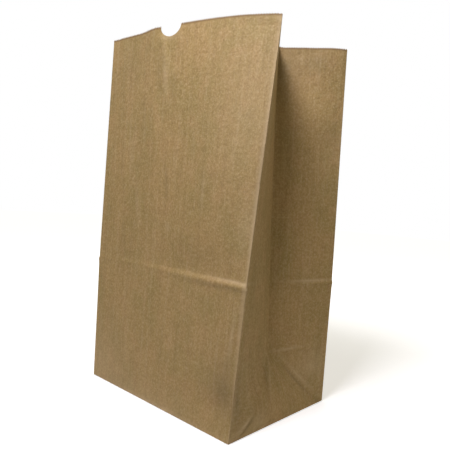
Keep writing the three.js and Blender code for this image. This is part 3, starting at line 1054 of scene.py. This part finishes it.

# %% [markdown]
# Painted light and shade. Soft ovals in the paper's colour paint light and shade onto it. Pale strips
# are painted highlights along creases, ridges and edges, and along the bag's edges they also stand for
# paper turned pale where its fibres are raised. Dark strips are painted shade beside the ridges, below
# the turn-up crease and along the slanting folds. A few broad marks of painted light and shade set the
# tone of a whole part of a wall or a pleat. A mask could be painted on, but soft ovals, long and thin
# along a crease, say the same and stay sharp at any size.

# %% Painted light and shade
# Each mark is its colour, its middle and reach on the paper map, its turn and its strength
painted_light_and_shade_marks = [
    # Broad and faint, on the front wall: painted shade at the lower right, above the crease and at the
    # top left, and painted light along the foot, at the top right, at the lower left and by the right edge
    (painted_shade_brown, (142, 32), (26, 46), 0, 0.4),
    (painted_shade_brown, (108, 106), (60, 24), 0, 0.12),
    (painted_shade_brown, (24, 236), (60, 70), 0, 0.2),
    (pale_fibre_and_highlight, (55, -4), (120, 30), 0, 0.3),
    (pale_fibre_and_highlight, (140, 200), (60, 110), 0, 0.18),
    (pale_fibre_and_highlight, (8, 16), (60, 60), 0, 0.25),
    (pale_fibre_and_highlight, (147, 130), (14, 36), 0, 0.25),
    # Along its right edge and its bottom edge: painted highlights on the folds, and paper worn pale there
    (pale_fibre_and_highlight, (151.5, 150), (3, 300), 0, 0.8),
    (pale_fibre_and_highlight, (76, 1), (110, 3), 0, 0.6),
    # Along its soft ridges: painted highlights on one side and painted shade on the other
    (pale_fibre_and_highlight, (66, 228), (5, 34), 8, 0.4),
    (painted_shade_brown, (59, 230), (7, 32), 8, 0.25),
    (painted_shade_brown, (74, 214), (6, 14), 0, 0.2),
    (painted_shade_brown, (74, 155), (5, 28), 8, 0.25),
    (pale_fibre_and_highlight, (78, 124), (5, 8), 0, 0.4),
    (pale_fibre_and_highlight, (108.7, 150), (3.5, 26), 0, 0.3),
    (pale_fibre_and_highlight, (44, 138), (4, 28), 6, 0.3),
    (pale_fibre_and_highlight, (146, 66), (3.5, 32), -6, 0.4),
    # Along the creases: painted highlights above them, and painted shade below the front's turn-up crease
    (pale_fibre_and_highlight, (142, 96.6), (40, 2.6), 0, 0.6),
    (painted_shade_brown, (125, 91.5), (60, 3.6), 0, 0.3),
    (pale_fibre_and_highlight, (231, 95.2), (34, 2.4), 0, 0.7),
    (pale_fibre_and_highlight, (216, 46), (26, 2.2), 0, 0.6),
    # On the right pleat: painted shade near its top and lower down, and painted shade and painted
    # highlights along its slanting folds
    (painted_shade_brown, (206, 246), (30, 44), 0, 0.45),
    (painted_shade_brown, (228, 250), (26, 18), 0, 0.35),
    (painted_shade_brown, (246, 196), (22, 34), 0, 0.2),
    (painted_shade_brown, (225.5, 22.5), (2.6, 44), 45, 0.5),
    (pale_fibre_and_highlight, (228, 25), (2.4, 44), 45, 0.4),
    (painted_shade_brown, (189.5, 30), (5, 26), -20, 0.25),
    (pale_fibre_and_highlight, (193.5, 30), (2.4, 26), -20, 0.4),
    # A pale lip under the notch; at the foot of the pleat, painted light, painted shade beside the front
    # right edge, and a painted highlight and painted shade along a short crease
    (pale_fibre_and_highlight, (68.7, 251.6), (12, 4), 0, 0.6),
    (pale_fibre_and_highlight, (238, 30), (26, 24), 0, 0.35),
    (painted_shade_brown, (155.5, 24), (5, 32), 0, 0.35),
    (pale_fibre_and_highlight, (172, 5), (22, 14), 0, 0.35),
    (pale_fibre_and_highlight, (158.7, 6.8), (2.4, 13), -53, 0.8),
    (painted_shade_brown, (160.7, 5.2), (2.8, 13), -53, 0.7),
]
print("painted light and shade marks:", len(painted_light_and_shade_marks))

# %% Colour of the kraft paper, with its painted light and shade
rim_shade_depth, rim_shade_end, rim_shade_strength = 1.2 * mm, 0.2 * mm, 0.8
kraft = bpy.data.materials.new("kraft_paper")
kraft.use_nodes = True
tree = kraft.node_tree
shader = tree.nodes["Principled BSDF"]
shader.inputs["Roughness"].default_value = 0.75
shader.inputs["Specular IOR Level"].default_value = 0.35

paper_place = add_node(tree, "ShaderNodeUVMap", uv_map="paper_map").outputs["UV"]
noises = {name: mapped_noise(tree, paper_place, *pattern) for name, pattern in paper_patterns.items()}
colour = kraft_brown
for name, other, start, end, strength in paper_tints:
    colour = tint(tree, colour, other, ramp(tree, noises[name], start, end, 0, strength))
# Painted light and shade, laid over the paper's own tints
for mark_colour, *mark_shape in painted_light_and_shade_marks:
    colour = tint(tree, colour, mark_colour, soft_mark(tree, paper_place, *mark_shape))

# Painted shade along the rim: the paper darkens over the last millimetre below the teeth and on them, where
# the cut rim falls in shadow
up_the_sheet = add_node(tree, "ShaderNodeSeparateXYZ")
tree.links.new(paper_place, up_the_sheet.inputs[0])
rim_shade_start, rim_shade_stop = valley_height - rim_shade_depth, valley_height - rim_shade_end
rim_shade = ramp(tree, up_the_sheet.outputs["Y"], rim_shade_start, rim_shade_stop, 0, rim_shade_strength)
colour = tint(tree, colour, dark_fibre_and_rim_shade, rim_shade)
tree.links.new(colour, shader.inputs["Base Color"])
print("the paper's colour has", len(tree.nodes), "nodes")

# %% [markdown]
# The paper's surface. Fibres and small cockles are under half a millimetre high, and don't change
# the outline, so a bump is enough for them. It takes the sum of a fine and a coarse noise, which are
# other parts of the noise than the colour's, so that the relief doesn't follow the tints.

# %% Surface of the kraft paper
cockle_height = 0.38 * mm
relief_map = add_node(tree, "ShaderNodeBump", Strength=1.0, Distance=cockle_height)
fine_relief = mapped_noise(tree, paper_place, (620, 420, 7), 5, 0.62)
coarse_relief = mapped_noise(tree, paper_place, (230, 120, 7), 3)
relief_sum = add_node(tree, "ShaderNodeMath", operation="ADD")
tree.links.new(fine_relief, relief_sum.inputs[0])
tree.links.new(coarse_relief, relief_sum.inputs[1])
tree.links.new(relief_sum.outputs[0], relief_map.inputs["Height"])
tree.links.new(relief_map.outputs["Normal"], shader.inputs["Normal"])
bag.data.materials.clear()
bag.data.materials.append(kraft)
print("kraft paper has", len(tree.nodes), "nodes in all")

# %% [markdown]
# The bag stands in for the solid model's node, and rides on its one body.

# %% Places in the frame
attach(bag, "root")
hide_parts("paper_bag")
print(bag.name, "replaces", cad_node.name)

# %% [markdown]
# The studio. Paper shows its creases only under light that grazes it, so the main lamp is small and
# stands high at the front right. A large weak lamp warms the right side, another lights the rear
# wall and the inside, and a dim warm world fills the shadows. The background is white to the camera
# alone, so it puts no extra light on the bag, and the floor keeps the bag's shadow.

# %% Floor
floor_size = 6
white = (1, 1, 1, 1)
bpy.ops.object.select_all(action="DESELECT")
bpy.ops.mesh.primitive_plane_add(size=floor_size, location=(0, 0, cad_low.z))
floor = bpy.context.object
floor.name = "floor"


def seen_directly(tree):
    """1 for rays from the camera, and for those that gloss or glass sends on."""
    rays = add_node(tree, "ShaderNodeLightPath").outputs
    first = add_node(tree, "ShaderNodeMath", operation="MAXIMUM")
    second = add_node(tree, "ShaderNodeMath", operation="MAXIMUM")
    tree.links.new(rays["Is Camera Ray"], first.inputs[0])
    tree.links.new(rays["Is Glossy Ray"], first.inputs[1])
    tree.links.new(first.outputs[0], second.inputs[0])
    tree.links.new(rays["Is Transmission Ray"], second.inputs[1])
    return second.outputs[0]


print("floor:", floor_size, "m wide")

# %% The floor's white, brighter away from the bag
glow_near, glow_far = 0.5, 0.95
near_reach, far_reach = 0.15, 0.7
floor_paper = bpy.data.materials.new("floor_white")
floor_paper.use_nodes = True
tree = floor_paper.node_tree
shader = tree.nodes["Principled BSDF"]
shader.inputs["Base Color"].default_value = (0.95, 0.95, 0.95, 1)
shader.inputs["Roughness"].default_value = 1
shader.inputs["Specular IOR Level"].default_value = 0
shader.inputs["Emission Color"].default_value = white
floor_place = add_node(tree, "ShaderNodeTexCoord").outputs["Object"]
floor_distance = add_node(tree, "ShaderNodeVectorMath", operation="LENGTH")
tree.links.new(floor_place, floor_distance.inputs[0])
floor_lift = add_node(tree, "ShaderNodeMath", operation="MULTIPLY")
glow = ramp(tree, floor_distance.outputs["Value"], near_reach, far_reach, glow_near, glow_far)
tree.links.new(glow, floor_lift.inputs[0])
tree.links.new(seen_directly(tree), floor_lift.inputs[1])
tree.links.new(floor_lift.outputs[0], shader.inputs["Emission Strength"])
floor.data.materials.append(floor_paper)
print("the floor glows from", glow_near, "by the bag to", glow_far, "for the camera only")

# %% Lamps
bag_middle = Vector((0, 0, 0.13))


def soft_lamp(name, azimuth, elevation, distance, size, watts, colour):
    """A square lamp that faces the bag. The azimuth runs from straight in front towards the right."""
    data = bpy.data.lights.new(name, "AREA")
    data.shape = "SQUARE"
    data.size = size
    data.energy = watts
    data.color = colour
    made = bpy.data.objects.new(name, data)
    bpy.context.scene.collection.objects.link(made)
    level = distance * cos(radians(elevation))
    turned = radians(azimuth)
    rise = distance * sin(radians(elevation))
    made.location = bag_middle + Vector((level * sin(turned), -level * cos(turned), rise))
    made.rotation_euler = (bag_middle - made.location).to_track_quat("-Z", "Y").to_euler()
    return made


lamps = [
    soft_lamp("soft_box", 20, 62, distance=0.46, size=0.14, watts=2.15, colour=(0.92, 0.91, 1)),
    soft_lamp("side_fill", 125, 12, distance=1.0, size=0.6, watts=0.34, colour=(1, 0.8, 0.4)),
    soft_lamp("rear_fill", 225, 35, distance=0.9, size=0.7, watts=2.5, colour=(1, 0.97, 0.9)),
]
print("lamps:", [made.name for made in lamps])

# %% World
ambient_level = 0.1
ambient_colour = (1, 0.85, 0.34, 1)
world = bpy.data.worlds.new("studio")
world.use_nodes = True
bpy.context.scene.world = world
tree = world.node_tree
background = tree.nodes["Background"]
seen_colour = tint(tree, ambient_colour, white, seen_directly(tree))
tree.links.new(seen_colour, background.inputs["Color"])
tree.links.new(ramp(tree, seen_directly(tree), 0, 1, ambient_level, 1), background.inputs["Strength"])
bpy.context.scene.view_settings.view_transform = "Standard"
print("the world lights the bag at", ambient_level)
